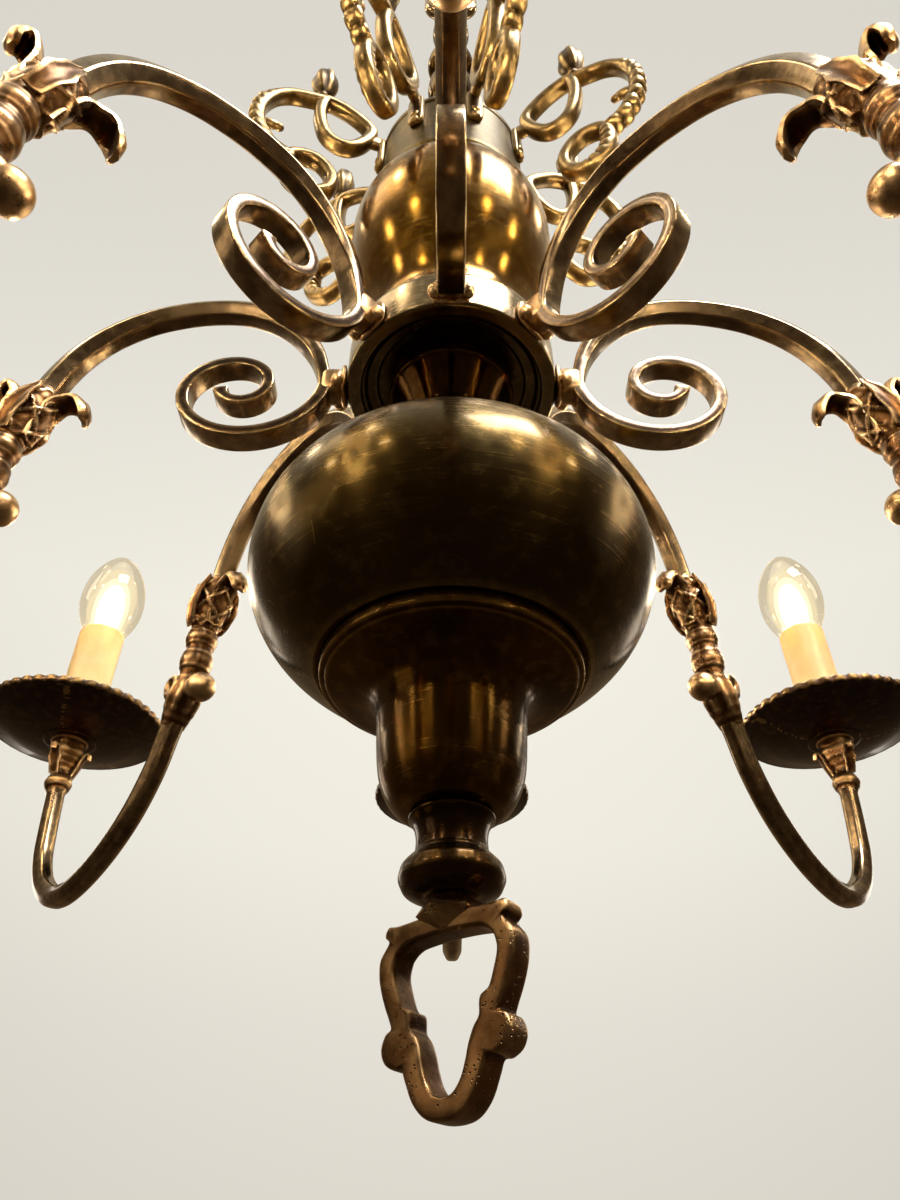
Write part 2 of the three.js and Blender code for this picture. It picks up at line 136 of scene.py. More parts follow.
# ---------- mesh building ----------
class Shape:
    """Collects closed surfaces, in millimetres, for one piece."""

    def __init__(self):
        self.verts, self.faces, self.mats = [], [], []

    def skin(self, rings, loop=False, mat=0):
        """Faces between rings of points. A ring of one point is a tip; other ends get a cap."""
        starts = []
        for ring in rings:
            starts.append(len(self.verts))
            self.verts += [metres(p) for p in ring]
        n = len(rings)
        for i in range(n if loop else n - 1):
            j = (i + 1) % n
            a, b, la, lb = starts[i], starts[j], len(rings[i]), len(rings[j])
            m = max(la, lb)
            for k in range(m):
                q = (k + 1) % m
                if la == 1:
                    face = (a, b + k, b + q)
                elif lb == 1:
                    face = (a + k, b, a + q)
                else:
                    face = (a + k, b + k, b + q, a + q)
                self.faces.append(face)
                self.mats.append(mat)
        if not loop:
            for i in (0, n - 1):
                if len(rings[i]) > 2:
                    self.faces.append(tuple(starts[i] + k for k in range(len(rings[i]))))
                    self.mats.append(mat)

    def lathe(self, profile, sides, centre=0.0, mat=0, wave=None):
        """Turns (r, h) points round the vertical through R = centre; wave moves a point."""
        rings = []
        for r, h in profile:
            if r < 1e-6:
                rings.append([(centre, 0, h)])
                continue
            ring = []
            for k in range(sides):
                a = 2 * math.pi * k / sides
                rr, hh = wave(r, h, a) if wave else (r, h)
                ring.append((centre + rr * math.cos(a), rr * math.sin(a), hh))
            rings.append(ring)
        hollow = profile[0][0] > 1e-6 and math.dist(profile[0], profile[-1]) < 1e-6
        self.skin(rings[:-1] if hollow else rings, loop=hollow, mat=mat)

    def sweep(self, route, sections, loop=False, tip=None):
        """Sections along a route of (R, H) points in the piece's own plane.

        sections(share of the route, index) gives (u, v) points: u lies in the plane, v across it.
        """
        n, rings = len(route), []
        for i, (r, h) in enumerate(route):
            a = route[(i - 1) % n if loop else max(i - 1, 0)]
            b = route[(i + 1) % n if loop else min(i + 1, n - 1)]
            length = math.dist(a, b)
            nr, nh = (b[1] - a[1]) / length, -(b[0] - a[0]) / length
            rings.append([(r + nr * u, v, h + nh * u) for u, v in sections(i / (n - 1), i)])
        if tip:
            rings.insert(0, [(tip[0], 0, tip[1])])
        self.skin(rings, loop=loop)

    def blob(self, centre, half, power, sides, wrap=0.0):
        """A rounded lump; power above 2 squares it, wrap is the radius of the wall it hugs."""
        def soft(v):
            return bulge(v, 2 / power)
        rings = []
        bend = 1 / (2 * wrap) if wrap else 0.0
        rows = max(sides // 2, 6)
        for i in range(rows + 1):
            e = math.pi * (i / rows - 0.5)
            ring = []
            for k in range(1 if i in (0, rows) else sides):
                a = 2 * math.pi * k / sides
                x = half[0] * soft(math.cos(e)) * soft(math.cos(a))
                y = half[1] * soft(math.cos(e)) * soft(math.sin(a))
                ring.append((centre[0] + x - bend * y * y, centre[1] + y,
                             centre[2] + half[2] * soft(math.sin(e))))
            rings.append(ring)
        self.skin(rings)

    def leaf(self, route, width, cup, thick, frame_of):
        """A cast leaf: a gutter along a route of (u, w), hollow below, with a rib and lobed edges.

        width, cup and thick give its half width, hollow and thickness along its length.
        frame_of turns (u, v, w) into (R, Y, H), so the same leaf can face any way.
        """
        n, across = len(route), 10
        lobes, rib_height, vein_height = 3, 0.55, 0.22
        rings = []
        for i, (u, w) in enumerate(route):
            t = i / (n - 1)
            a, b = route[max(i - 1, 0)], route[min(i + 1, n - 1)]
            length = math.dist(a, b)
            nu, nw = -(b[1] - a[1]) / length, (b[0] - a[0]) / length
            scallop = 1 + 0.10 * math.sin(2 * math.pi * lobes * t) * math.sin(math.pi * t)
            half, depth, th = width(t) * scallop, cup(t), thick(t)
            top, low = [], []
            for k in range(across + 1):
                v = 2 * k / across - 1
                drop = depth * abs(v) ** 1.7
                rib = rib_height * math.exp(-(v / 0.16) ** 2) * math.sin(math.pi * min(t * 1.1, 1))
                vein = vein_height * math.sin(26 * t - 4.5 * abs(v)) * (1 - v * v)
                edge = 1 - 0.55 * abs(v) ** 6
                up, dn = -drop + rib + vein + th / 2 * edge, -drop - th / 2 * edge
                top.append(frame_of(u + nu * up, v * half, w + nw * up))
                low.append(frame_of(u + nu * dn, v * half, w + nw * dn))
            rings.append(top + low[::-1])
        self.skin(rings)

    def make(self, name, materials, sharp=42):
        """The mesh, smooth but for edges sharper than an angle in degrees."""
        mesh = bpy.data.meshes.new(name)
        mesh.from_pydata(self.verts, [], self.faces)
        bm = bmesh.new()
        bm.from_mesh(mesh)
        for face, mat in zip(bm.faces, self.mats):
            face.material_index = mat
        bmesh.ops.remove_doubles(bm, verts=bm.verts, dist=1e-7)
        bmesh.ops.recalc_face_normals(bm, faces=bm.faces)
        bm.to_mesh(mesh)
        bm.free()
        for m in materials:
            mesh.materials.append(m)
        mesh.shade_smooth()
        mesh.set_sharp_from_angle(angle=math.radians(sharp))
        return mesh


def place(name, mesh, body, nodes, azimuth=90.0):
    """One piece of the light; azimuth turns local +X to that angle from the front."""
    piece = bpy.data.objects.new(name, mesh)
    bpy.context.scene.collection.objects.link(piece)
    piece.rotation_euler[2] = math.radians(azimuth - 90)
    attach(piece, body)
    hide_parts(*nodes)
    return piece


# ---------- materials ----------
class Nodes:
    """Short calls for building the node tree of a material or a world."""

    def __init__(self, owner):
        owner.use_nodes = True
        self.owner, self.tree = owner, owner.node_tree

    def add(self, kind, out=0, props=None, **inputs):
        """A node's output; inputs are named, or numbered as i0, i1 and so on."""
        node = self.tree.nodes.new("ShaderNode" + kind)
        for key, value in (props or {}).items():
            setattr(node, key, value)
        for key, value in inputs.items():
            name = int(key[1:]) if key[1:].isdigit() else key.replace("_", " ")
            self.put(node.inputs[name], value)
        return node.outputs[out]

    def put(self, socket, value):
        if isinstance(value, bpy.types.NodeSocket):
            self.tree.links.new(value, socket)
        elif value is not None:
            socket.default_value = value

    def math(self, operation, a, b=None):
        return self.add("Math", props={"operation": operation}, i0=a, i1=b)

    def spread(self, value, low, high, to_low=0.0, to_high=1.0):
        return self.add("MapRange", i0=value, i1=low, i2=high, i3=to_low, i4=to_high)

    def mix(self, factor, a, b):
        node = self.tree.nodes.new("ShaderNodeMix")
        node.data_type = "RGBA"
        self.put(node.inputs["Factor"], factor)
        self.put(node.inputs["A"], a)
        self.put(node.inputs["B"], b)
        return node.outputs["Result"]

    def noise(self, vector, scale, detail, rough, w=None):
        extra = {} if w is None else {"W": w}
        return self.add("TexNoise", props={"noise_dimensions": "4D" if extra else "3D"},
                        Vector=vector, Scale=scale, Detail=detail, Roughness=rough, **extra)

    def bump(self, height, strength, distance, normal=None):
        return self.add("Bump", Height=height, Strength=strength, Distance=distance, Normal=normal)

    def end(self, last, **values):
        """Puts values and other nodes' outputs on the last node's own sockets."""
        for key, value in values.items():
            self.put(self.tree.nodes[last].inputs[key.replace("_", " ")], value)
        return self.owner


def new_nodes(name):
    """The nodes of a new material, and its object coordinates."""
    n = Nodes(bpy.data.materials.new(name))
    return n, n.add("TexCoord", out=3)


SHADER, OUTPUT = "Principled BSDF", "Material Output"


def colour(code):
    """An sRGB hex colour as linear RGBA."""
    parts = [int(code[i:i + 2], 16) / 255 for i in (1, 3, 5)]
    return tuple(c / 12.92 if c <= 0.04045 else ((c + 0.055) / 1.055) ** 2.4 for c in parts) + (1,)


def brass(name, deep, body, bright, rough, scratch, wear, turned=None, pits=0.0, cast=0.0,
          patina=(0.28, 0.78), brush=0.25, stretch=0.0, coat=0.0, grime_and_shade=0.4):
    """Aged brass: deep patina over a worn body colour, bright edges, dirt and painted shade in the
    hollows.

    rough is the roughness of the worn metal and of the patina, scratch and wear how far bright
    metal shows in scratches and on edges. turned is the R of the axis the piece was turned
    round and brush the strength of its lathe lines; cast is the height of the casting's
    unevenness and pits the depth of its pits, in millimetres; patina is the range of noise
    over which patina gives way to body; stretch draws the highlights out along the height,
    coat is the clear lacquer, and grime_and_shade darkens the hollows with dirt and painted shade.
    """
    lathe_line, coat_roughness = 0.00012, 0.09
    pit_dirt = (0.012, 0.007, 0.003, 1)
    n, here = new_nodes(name)
    seed = n.math("MULTIPLY", n.add("ObjectInfo", out=5), 7.0)
    cloud = n.noise(here, 26.0, 5.0, 0.6, seed)
    fine = n.noise(here, 240.0, 4.0, 0.6, seed)
    stain = n.noise(here, 85.0, 6.0, 0.72, seed)
    mask = n.spread(n.math("ADD", cloud, n.math("MULTIPLY", n.math("SUBTRACT", stain, 0.5), 0.5)),
                    patina[0], patina[1])
    point = n.add("NewGeometry", out=7)
    edge = n.spread(point, 0.505, 0.535 + 0.03 * (1 - wear))
    edge = n.math("MULTIPLY", edge, n.spread(fine, 0.35, 0.6, 0.45, 1.0))
    hollow = n.spread(point, 0.497, 0.465)
    base = n.mix(mask, colour(deep), colour(body))
    base = n.mix(n.spread(fine, 0.5, 0.72, 0, 0.16), base, colour(bright))
    base = n.mix(n.math("MULTIPLY", edge, wear), base, colour(bright))
    # dirt and painted shade: the hollows darken towards half of the deep colour
    base = n.mix(n.math("MULTIPLY", hollow, grime_and_shade), base, n.mix(0.5, colour(deep), (0, 0, 0, 1)))
    roughness = n.spread(mask, 0, 1, rough[1], rough[0])
    roughness = n.math("ADD", roughness, n.spread(fine, 0.3, 0.7, -0.02, 0.03))
    roughness = n.math("ADD", roughness, n.math("MULTIPLY", hollow, 0.2))
    normal = None
    if turned is not None:
        split = n.add("SeparateXYZ", Vector=here)
        x, y, z = (split.node.outputs[k] for k in range(3))
        if turned:
            x = n.math("SUBTRACT", x, turned / 1000)
        radius = n.math("SQRT", n.math("ADD", n.math("MULTIPLY", x, x), n.math("MULTIPLY", y, y)))
        lines = n.add("CombineXYZ", X=radius, Y=n.math("MULTIPLY", x, 0.012), Z=z)
        grain = n.noise(lines, 2600.0, 3.0, 0.65)
        coarse = n.noise(lines, 420.0, 2.0, 0.5)
        both = n.math("ADD", grain, n.math("MULTIPLY", coarse, 1.2))
        normal = n.bump(both, brush, lathe_line)
        roughness = n.math("ADD", roughness, n.spread(grain, 0.3, 0.7, -0.04, 0.07))
        if stretch:
            tangent = n.add("Tangent", props={"direction_type": "RADIAL", "axis": "Z"})
            n.end(SHADER, Tangent=tangent, Anisotropic=stretch, Anisotropic_Rotation=0.25)
    if cast:
        lumps = n.math("ADD", n.noise(here, 130.0, 4.0, 0.6, seed), n.math("MULTIPLY", fine, 0.5))
        normal = n.bump(lumps, 0.5, cast / 1000, normal)
    if pits:
        cells = n.add("TexVoronoi", Vector=here, Scale=900.0, Randomness=1.0)
        clean = n.math("LESS_THAN", n.noise(here, 110.0, 3.0, 0.6), 0.52)
        pit = n.math("MULTIPLY", n.spread(cells, 0.26, 0.1), n.math("SUBTRACT", 1.0, clean))
        normal = n.bump(pit, 0.8, -pits / 1000, normal)
        base = n.mix(n.math("MULTIPLY", pit, 0.85), base, pit_dirt)
        roughness = n.math("ADD", roughness, n.math("MULTIPLY", pit, 0.3))
    if scratch:
        warp = n.add("VectorMath", props={"operation": "MULTIPLY"}, i0=here, i1=(1.0, 1.0, 0.3))
        vein = n.math("ABSOLUTE", n.math("SUBTRACT", n.noise(warp, 70.0, 0.0, 0.4, seed), 0.5))
        line = n.math("MULTIPLY", n.spread(vein, 0.0016, 0.0), n.spread(stain, 0.5, 0.62))
        base = n.mix(n.math("MULTIPLY", line, scratch), base, colour(bright))
        roughness = n.math("ADD", roughness, n.math("MULTIPLY", line, 0.18 * scratch))
    return n.end(SHADER, Base_Color=base, Roughness=roughness, Normal=normal, Metallic=1.0,
                 Coat_Weight=coat, Coat_Roughness=coat_roughness)


ball_brass = brass("ball_brass", "#392b12", "#685226", "#c9ac6c", rough=(0.2, 0.24), turned=0,
                   scratch=0.8, wear=0.7, stretch=0.72, brush=0.05, coat=0.12, patina=(0.1, 0.85))
turned_brass = brass("turned_brass", "#32210c", "#6f4d19", "#dcb066", rough=(0.19, 0.23), turned=0,
                     scratch=0.2, wear=0.8, stretch=0.88, brush=0.04)
hub_brass = brass("hub_brass", "#4a3a22", "#7e6a48", "#e2cfa6", rough=(0.18, 0.24), turned=0,
                  scratch=0.6, wear=0.7, brush=0.14, coat=0.4)
urn_brass = brass("urn_brass", "#664514", "#a07524", "#efd08a", rough=(0.14, 0.17), turned=0,
                  scratch=0.3, wear=0.7, brush=0.02)
finial_brass = brass("finial_brass", "#2b1c0e", "#4a3216", "#a27a3c", rough=(0.17, 0.24), turned=0,
                     scratch=0.3, wear=0.6, stretch=0.6, brush=0.1, coat=0.2)
dark_brass = brass("dark_brass", "#2a1b0d", "#5a3d1a", "#b98c46", rough=(0.1, 0.13), turned=0,
                   scratch=0.3, wear=0.6, stretch=0.8, brush=0.04)
collar_brass = brass("collar_brass", "#32270e", "#5c4a20", "#b79a58", rough=(0.3, 0.42), turned=0,
                     scratch=0.5, wear=0.6, brush=0.2)
arm_brass = brass("arm_brass", "#28190c", "#54371c", "#e4c69c", rough=(0.17, 0.23), cast=0.03,
                  scratch=0.2, wear=0.95, coat=0.22, patina=(0.2, 0.85))
leaf_brass = brass("leaf_brass", "#36210f", "#795330", "#eec99a", rough=(0.23, 0.34), cast=0.08,
                   scratch=0.2, wear=0.95, patina=(0.25, 0.7), grime_and_shade=0.85)
ring_brass = brass("ring_brass", "#3c2614", "#946a44", "#e6c090", rough=(0.21, 0.36), cast=0.16,
                   pits=0.5, scratch=0.3, wear=0.9, patina=(0.34, 0.68))
gilt_brass = brass("gilt_brass", "#2c2010", "#573f20", "#cfae74", rough=(0.25, 0.36), cast=0.06,
                   scratch=0.2, wear=0.75)
pan_brass = brass("pan_brass", "#2e211c", "#4e3b32", "#c9a66c", rough=(0.28, 0.36), turned=CANDLE_R,
                  scratch=0.0, wear=0.75, brush=0.2, coat=0.2, patina=(0.1, 0.9))
rod_steel = brass("rod_steel", "#4b463e", "#8b857a", "#c2bdb2", rough=(0.3, 0.5), turned=0,
                  scratch=0.2, wear=0.5)


def sleeve_material():
    """Ivory candle sleeve, with a painted glow all over it, warmer and a little stronger towards
    the bulb at its top.
    """
    n, here = new_nodes("ivory_sleeve")
    height = n.add("SeparateXYZ", out=2, Vector=here)
    rise = n.spread(height, (206 - HANG) / 1000, (272.5 - HANG) / 1000)
    cloud = n.noise(here, 60.0, 4.0, 0.6)
    streak = n.add("VectorMath", props={"operation": "MULTIPLY"}, i0=here, i1=(1.0, 1.0, 0.12))
    drip = n.noise(streak, 160.0, 3.0, 0.5)
    base = n.mix(n.spread(cloud, 0.35, 0.65), colour("#d2b98a"), colour("#c4a676"))
    base = n.mix(n.spread(drip, 0.56, 0.7, 0, 0.4), base, colour("#dfcba6"))
    return n.end(SHADER, Base_Color=base, Roughness=n.spread(cloud, 0.3, 0.7, 0.42, 0.6),
                 Subsurface_Weight=0.3, Subsurface_Radius=(0.008, 0.004, 0.002),
                 Subsurface_Scale=1.0, Normal=n.bump(drip, 0.35, 0.0006),
                 # painted glow: the sleeve emits light, warmer and stronger towards its top,
                 # standing in for the bulb's light
                 Emission_Color=n.mix(rise, colour("#f6dc9c"), colour("#ffb860")),
                 Emission_Strength=n.spread(rise, 0.0, 1.0, 0.2, 0.24))


def porcelain_material():
    """Off-white glaze of the lamp holders, slightly dulled."""
    n, here = new_nodes("porcelain")
    cloud = n.noise(here, 90.0, 4.0, 0.6)
    return n.end(SHADER, Base_Color=n.mix(cloud, colour("#d8d0bf"), colour("#b9ae98")),
                 Roughness=n.spread(cloud, 0.3, 0.7, 0.25, 0.45),
                 Normal=n.bump(n.noise(here, 700.0, 2.0, 0.5), 0.15, 0.0002))


def glass_material():
    """Thin clear glass: what is behind shows through, with a mirror sheen towards the rim."""
    n, here = new_nodes("bulb_glass")
    film = n.noise(here, 40.0, 3.0, 0.5)
    tint = n.mix(n.spread(film, 0.3, 0.7), colour("#fbf5e8"), colour("#fffaf0"))
    clear = n.add("BsdfTransparent", Color=tint)
    gloss = n.add("BsdfGlossy", Color=(1, 0.97, 0.9, 1), Roughness=0.06)
    rim = n.add("LayerWeight", Blend=0.32)
    share = n.spread(rim, 0.0, 1.0, 0.02, 0.28)
    return n.end(OUTPUT, Surface=n.add("MixShader", i0=share, i1=clear, i2=gloss))


def glow_material(name, tone, strength, cover):
    """A layer of light inside the bulb; cover is its share over what is behind it."""
    n, here = new_nodes(name)
    ripple = n.spread(n.noise(here, 120.0, 2.0, 0.5), 0.3, 0.7, 0.92, 1.08)
    light = n.add("Emission", Color=colour(tone), Strength=n.math("MULTIPLY", ripple, strength))
    clear = n.add("BsdfTransparent")
    return n.end(OUTPUT, Surface=n.add("MixShader", i0=cover, i1=clear, i2=light))


sleeve_ivory = sleeve_material()
porcelain = porcelain_material()
bulb_glass = glass_material()
filament = glow_material("filament_glow", "#fff4da", 12.0, 1.0)
halo_in = glow_material("halo_inner", "#fff6dc", 4.0, 0.6)
halo_mid = glow_material("halo_middle", "#fff2ce", 1.9, 0.34)
halo_out = glow_material("halo_outer", "#ffeec2", 1.15, 0.24)


# ---------- turned stack ----------
def ellipse(radius, half, level, start, end, steps):
    """An arc of an ellipse, from one angle above its widest point to another."""
    return [(radius * math.cos(a), level + half * math.sin(a))
            for a in (lerp(start, end, i / steps) for i in range(steps + 1))]


def turned_piece(name, profile, material, nodes, sides=128):
    shape = Shape()
    shape.lathe(profile, sides)
    place(name, shape.make(name, [material]), "chandelier", nodes)


turned_piece("finial", [(0, 56), (3.3, 56)] + rounded(
    [(3.3, 46.0), (7.6, 45.7), (9.2, 46.3), (11.8, 47.6), (13, 50.4), (12.3, 53.4), (10.4, 55.4),
     (9.6, 55.9), (9.4, 56.6), (9.0, 57.2), (8.8, 59.5), (8.9, 61.5), (9.4, 63.6), (10.5, 65.2),
     (10.9, 65.6), (10.9, 66.5), (0, 66.5)], 0.8, 4), finial_brass,
    ["bottom_finial"], 96)

turned_piece("bell", rounded(
    [(0, 66.8), (10.4, 66.8)] + smooth([(10.6, 66.8), (13.4, 67.6), (16.2, 70.4), (18.3, 75),
     (19.3, 80), (19.8, 86), (20.1, 92), (20.6, 97), (21.8, 100.6), (24.6, 102.8), (28.6, 104.2),
     (32.6, 105.2), (34.8, 105.8)], 40) + [(35.2, 106.4), (36.6, 106.6), (36.8, 107.2),
     (36.8, 109.7), (0, 109.7)], 0.35, 2), turned_brass,
    ["bell_cup"])

BALL_R, BALL_HALF, BALL_H = 60.6, 43.7, 143.2
BALL_FOOT_R, BALL_TOP_R = 38.6, 15.0
turned_piece("ball", [(0, 109.9), (36.0, 109.9), (36.3, 110.2)] + ellipse(
    BALL_R, BALL_HALF, BALL_H, -math.acos(BALL_FOOT_R / BALL_R), math.acos(BALL_TOP_R / BALL_R), 96)
    + [(0, 187.0)], ball_brass, ["lower_ball"], 192)

turned_piece("neck", rounded(
    [(0, 187.5), (15.8, 187.5), (16.6, 188.4), (16.6, 189.8), (15.6, 190.6), (15.2, 191.6),
     (15.2, 192.6), (14.2, 193.4)] + smooth([(13.6, 198), (13.3, 204), (14.2, 209.4)], 16)
    + [(15.4, 210.2), (16.4, 211.6), (16.4, 213.2), (15.5, 214.2), (15.4, 214.8)]
    + smooth([(15.5, 215.2), (17.2, 219.4), (19.2, 224.6), (21.4, 229.4)], 24)
    + [(22.2, 229.8), (22.7, 231), (22.7, 232.8), (21.6, 233.8), (20.5, 234.2), (20.5, 238.2),
       (0, 238.2)], 0.5, 3), dark_brass, ["lower_neck"], 96)

turned_piece("hub", rounded(
    [(0, 238.5), (26.9, 238.5), (27.3, 237.4), (30.8, 237.1), (31.8, 235.4), (32.9, 234.9),
     (33.2, 233.4), (37.5, 233.2), (38.3, 234), (38.3, 250.6), (38.1, 251.8), (37.5, 252.6),
     (36.6, 253), (0, 253)], 0.5, 3), hub_brass, ["arm_hub"])

turned_piece("urn", rounded(
    [(0, 253.3), (37.0, 253.3), (37.2, 253.9)] + smooth([(36.8, 254.4), (34.4, 256.8),
     (32.2, 260.4), (30.6, 264.6), (29.8, 270), (30.6, 276), (33.2, 285), (37.0, 295), (40.4, 307),
     (42.5, 320), (43.1, 332), (42.3, 343), (39.6, 352), (36.4, 358.4)], 90)
    + [(34.4, 361.8), (33.8, 362.9), (0, 363)], 0.4, 2), urn_brass,
    ["upper_urn"])

turned_piece("collar", rounded(
    [(0, 363.4), (35, 363.4), (35.4, 364), (35.2, 368), (34.7, 368.8), (33.4, 408), (34, 409),
     (34, 412), (33, 413.6), (24, 414), (0, 414)], 0.6, 3), collar_brass,
    ["ornament_collar"])

turned_piece("baluster", rounded(
    [(0, 414.4), (19, 414.4), (19.2, 417), (18, 420), (14.4, 424.4), (11.6, 430), (10.6, 434),
     (10.9, 435.4), (10.2, 437), (8.9, 446), (8.4, 458), (8.8, 476), (9.6, 486), (10, 489),
     (11.2, 490.4), (12.2, 494), (12.8, 501), (12.4, 508), (11.0, 512.4), (9.2, 514.4), (8.2, 518),
     (7.8, 523), (8.6, 527.4), (10.4, 529), (12.6, 531.4), (13.4, 536), (12.8, 541.4), (10.4, 545),
     (8.6, 547), (8.2, 552), (8, 566), (8.6, 574), (10.2, 579), (11, 583), (11, 588), (0, 588)],
    1.6, 4), turned_brass, ["top_baluster"], 96)


def threaded_rod():
    """The threaded tube that clamps the stack, with a rolled thread along all of it."""
    bottom, top, radius, end, pitch, depth = 67.0, 587.4, 5, 4.4, 2.0, 0.42
    profile = [(0, bottom), (end, bottom)]
    for i in range(int((top - bottom - 2) / pitch)):
        h = bottom + 1 + i * pitch
        profile += [(radius - depth, h), (radius, h + 0.45 * pitch), (radius, h + 0.6 * pitch)]
    profile += [(end, top), (0, top)]
    turned_piece("threaded_rod", profile, rod_steel, ["central_rod"], 20)


threaded_rod()


# ---------- pull ring ----------
# Half of the cast ring: points of the outline paired with points of its opening.
RING_HALF = [
    ((0, 0), (0, 4.6)), ((4.6, 0.8), (2.2, 5.2)), ((8.0, 3.8), (4.2, 7.6)),
    ((10.2, 8.2), (5.4, 10.8)), ((11.4, 10.8), (5.9, 12.8)), ((13.6, 10.9), (6.2, 14)),
    ((16.2, 12.4), (6.6, 15.2)), ((17.3, 15.2), (7.4, 16.8)), ((16.2, 18.0), (8.6, 18.2)),
    ((14.6, 19.0), (9.0, 19.2)), ((15.2, 21.0), (9.0, 21.2)), ((16.6, 24.0), (9.4, 22.4)),
    ((17.8, 27.4), (11.4, 23.4)),
    ((18.6, 31.0), (12.9, 27.0)), ((18.4, 34.6), (14.0, 31)), ((16.2, 37.6), (13.4, 34.2)),
    ((16.0, 38.6), (12.4, 35.4)), ((17.3, 39.8), (11.2, 36.2)), ((16.4, 41.8), (9.6, 36.8)),
    ((13.6, 41.6), (7.4, 37.1)), ((8, 42), (4.6, 37.3)), ((0, 43), (0, 37.4))]


def pull_ring():
    pairs = RING_HALF + [((-a[0], a[1]), (-b[0], b[1])) for a, b in RING_HALF[-2:0:-1]]
    line = smooth([(*a, *b) for a, b in pairs], 300, closed=True)
    half_depth, crown, points, power = 3.75, 0.05, 36, 7.0
    rings = []
    for ox, oh, ix, ih in line:
        ring = []
        for k in range(points):
            a = 2 * math.pi * k / points
            u, v = bulge(math.cos(a), 2 / power), bulge(math.sin(a), 2 / power)
            y = v * half_depth * (1 + crown * (1 - u * u)) / (1 + crown)
            ring.append((lerp(ox, ix, 0.5 + u / 2), y, lerp(oh, ih, 0.5 + u / 2)))
        rings.append(ring)
    shape = Shape()
    shape.skin(rings, loop=True)
    # the faceted lump and the swivel pin over it
    lump = []
    for r, h in ((0, 37.6), (4.4, 38.4), (8.6, 42.2), (6.6, 45.0), (3.0, 45.6)):
        lump.append([(0, 0, h)] if r == 0 else
                    [(r * math.cos(math.pi * k / 3 + 0.5), r * math.sin(math.pi * k / 3 + 0.5), h)
                     for k in range(6)])
    shape.skin(lump)
    shape.lathe([(0, 44), (3, 44), (3, 57.4), (2.4, 58), (0, 58)], 24)
    place("pull_ring_cast", shape.make("pull_ring_cast", [ring_brass], 34), "ring",
          ["pull_ring"], 90 - RING_TURN)


pull_ring()


# ---------- suspension eye and loop ----------
def round_section(radius, points=20):
    """The points of a circle."""
    angles = [2 * math.pi * k / points for k in range(points)]
    return [(radius * math.cos(a), radius * math.sin(a)) for a in angles]


def suspension():
    eye_h, eye_r, wire = 618.0, 12.0, 4.0
    shape = Shape()
    shape.lathe(rounded(
        [(0, 588.4), (9.4, 588.4), (10.6, 589.4), (11, 591.4), (10.6, 593.6), (9.4, 595.6),
         (7.4, 597), (6.6, 598.2), (6.4, 600), (5.2, 601.6), (4.4, 604), (4.2, 606.4), (0, 606.4)],
        0.8, 3), 64)
    route = [(x, eye_h + y) for x, y in round_section(eye_r, 96)]
    shape.sweep(route, lambda t, i: round_section(wire), loop=True)
    place("eye_cast", shape.make("eye_cast", [arm_brass]), "chandelier",
          ["suspension_eye"], 0)
    half, low, top, steps = 13.0, 621.1, 659.0, 128
    shape = Shape()
    oval = [(x, (top - half if y >= 0 else low + half) + y) for x, y in round_section(half, steps)]
    oval = resample(oval + oval[:1], steps)[:-1]
    shape.sweep(oval, lambda t, i: round_section(wire), loop=True)
    place("loop_forged", shape.make("loop_forged", [arm_brass]), "hanger",
          ["suspension_loop"])


suspension()


# ---------- arms ----------
# Routes in the plane of an arm: the volute, the arch from it to the collar, the S below.
VOLUTE = {"r": 77.7, "h": 234.8, "outer": 31.5, "inner": 6.5, "turns": 1.47, "growth": 1.6}
ARCH = [(47.4, 243), (51, 256), (57.4, 268), (67, 278.6), (80, 285.4), (94, 286.6), (107, 284.4),
        (120, 279), (132, 269.4), (140.3, 257.9), (145.6, 245), (149, 231)]
LOWER = [(151.6, 222), (155.4, 209), (156.4, 194), (158, 181), (162.6, 171), (167.4, 160),
         (172.8, 146.2), (182.6, 132.4), (195.2, 121.8), (210.2, 114.2), (227, 110.2), (242, 112.4),
         (257, 121.8), (267, 136), (272, 152), (275.4, 168), (277.6, 180), (278.7, 190), (279, 196),
         (279, 203.4)]
# Turned skins as (height, radius): over the arch's end, from the plain arm up to the leaves, and
# over the top of the S, up to the pan.
COLLAR = [(162.5, 4.4), (164.5, 5.2), (168, 6.0), (171, 6.8), (175, 7.3), (179, 7.0), (182.6, 6.0),
          (184.6, 5.5), (186.4, 5.7), (188, 6.5), (191.4, 7.0), (195, 6.5), (196.8, 5.6),
          (198.4, 5.5), (200, 6.2), (203, 6.9), (206, 6.5), (207.6, 5.9), (209.4, 6.2), (213, 7.4),
          (218, 8.0), (223, 7.9), (228, 7.0), (232, 5.9), (235, 4.6)]
CUP = [(172, 4.2), (175, 4.9), (176.4, 6.0), (178.6, 6.6), (180.8, 6.0), (182, 5.0), (184, 4.6),
       (187, 4.9), (190, 5.8), (193.4, 7.0), (196.6, 7.6), (199.4, 7.2), (201, 7.8), (203.2, 9.6)]


def volute_route(steps):
    """The spiral from its eye to where the arch begins."""
    out = []
    for i in range(steps + 1):
        t = i / steps
        angle = math.pi * (1 - 2 * VOLUTE["turns"] * (t - 1))
        radius = VOLUTE["inner"] + (VOLUTE["outer"] - VOLUTE["inner"]) * t ** VOLUTE["growth"]
        out.append((VOLUTE["r"] + radius * math.cos(angle), VOLUTE["h"] + radius * math.sin(angle)))
    return out


def arm_section(half, wide, ridge, cut):
    """A bar's section: flat on the edges seen from above and below, and ridged on its sides."""
    corners = [(half, wide * ridge), (0, wide), (-half, wide * ridge), (-half, -wide * ridge),
               (0, -wide), (half, -wide * ridge)]
    return rounded(corners, cut, 3, closed=True)


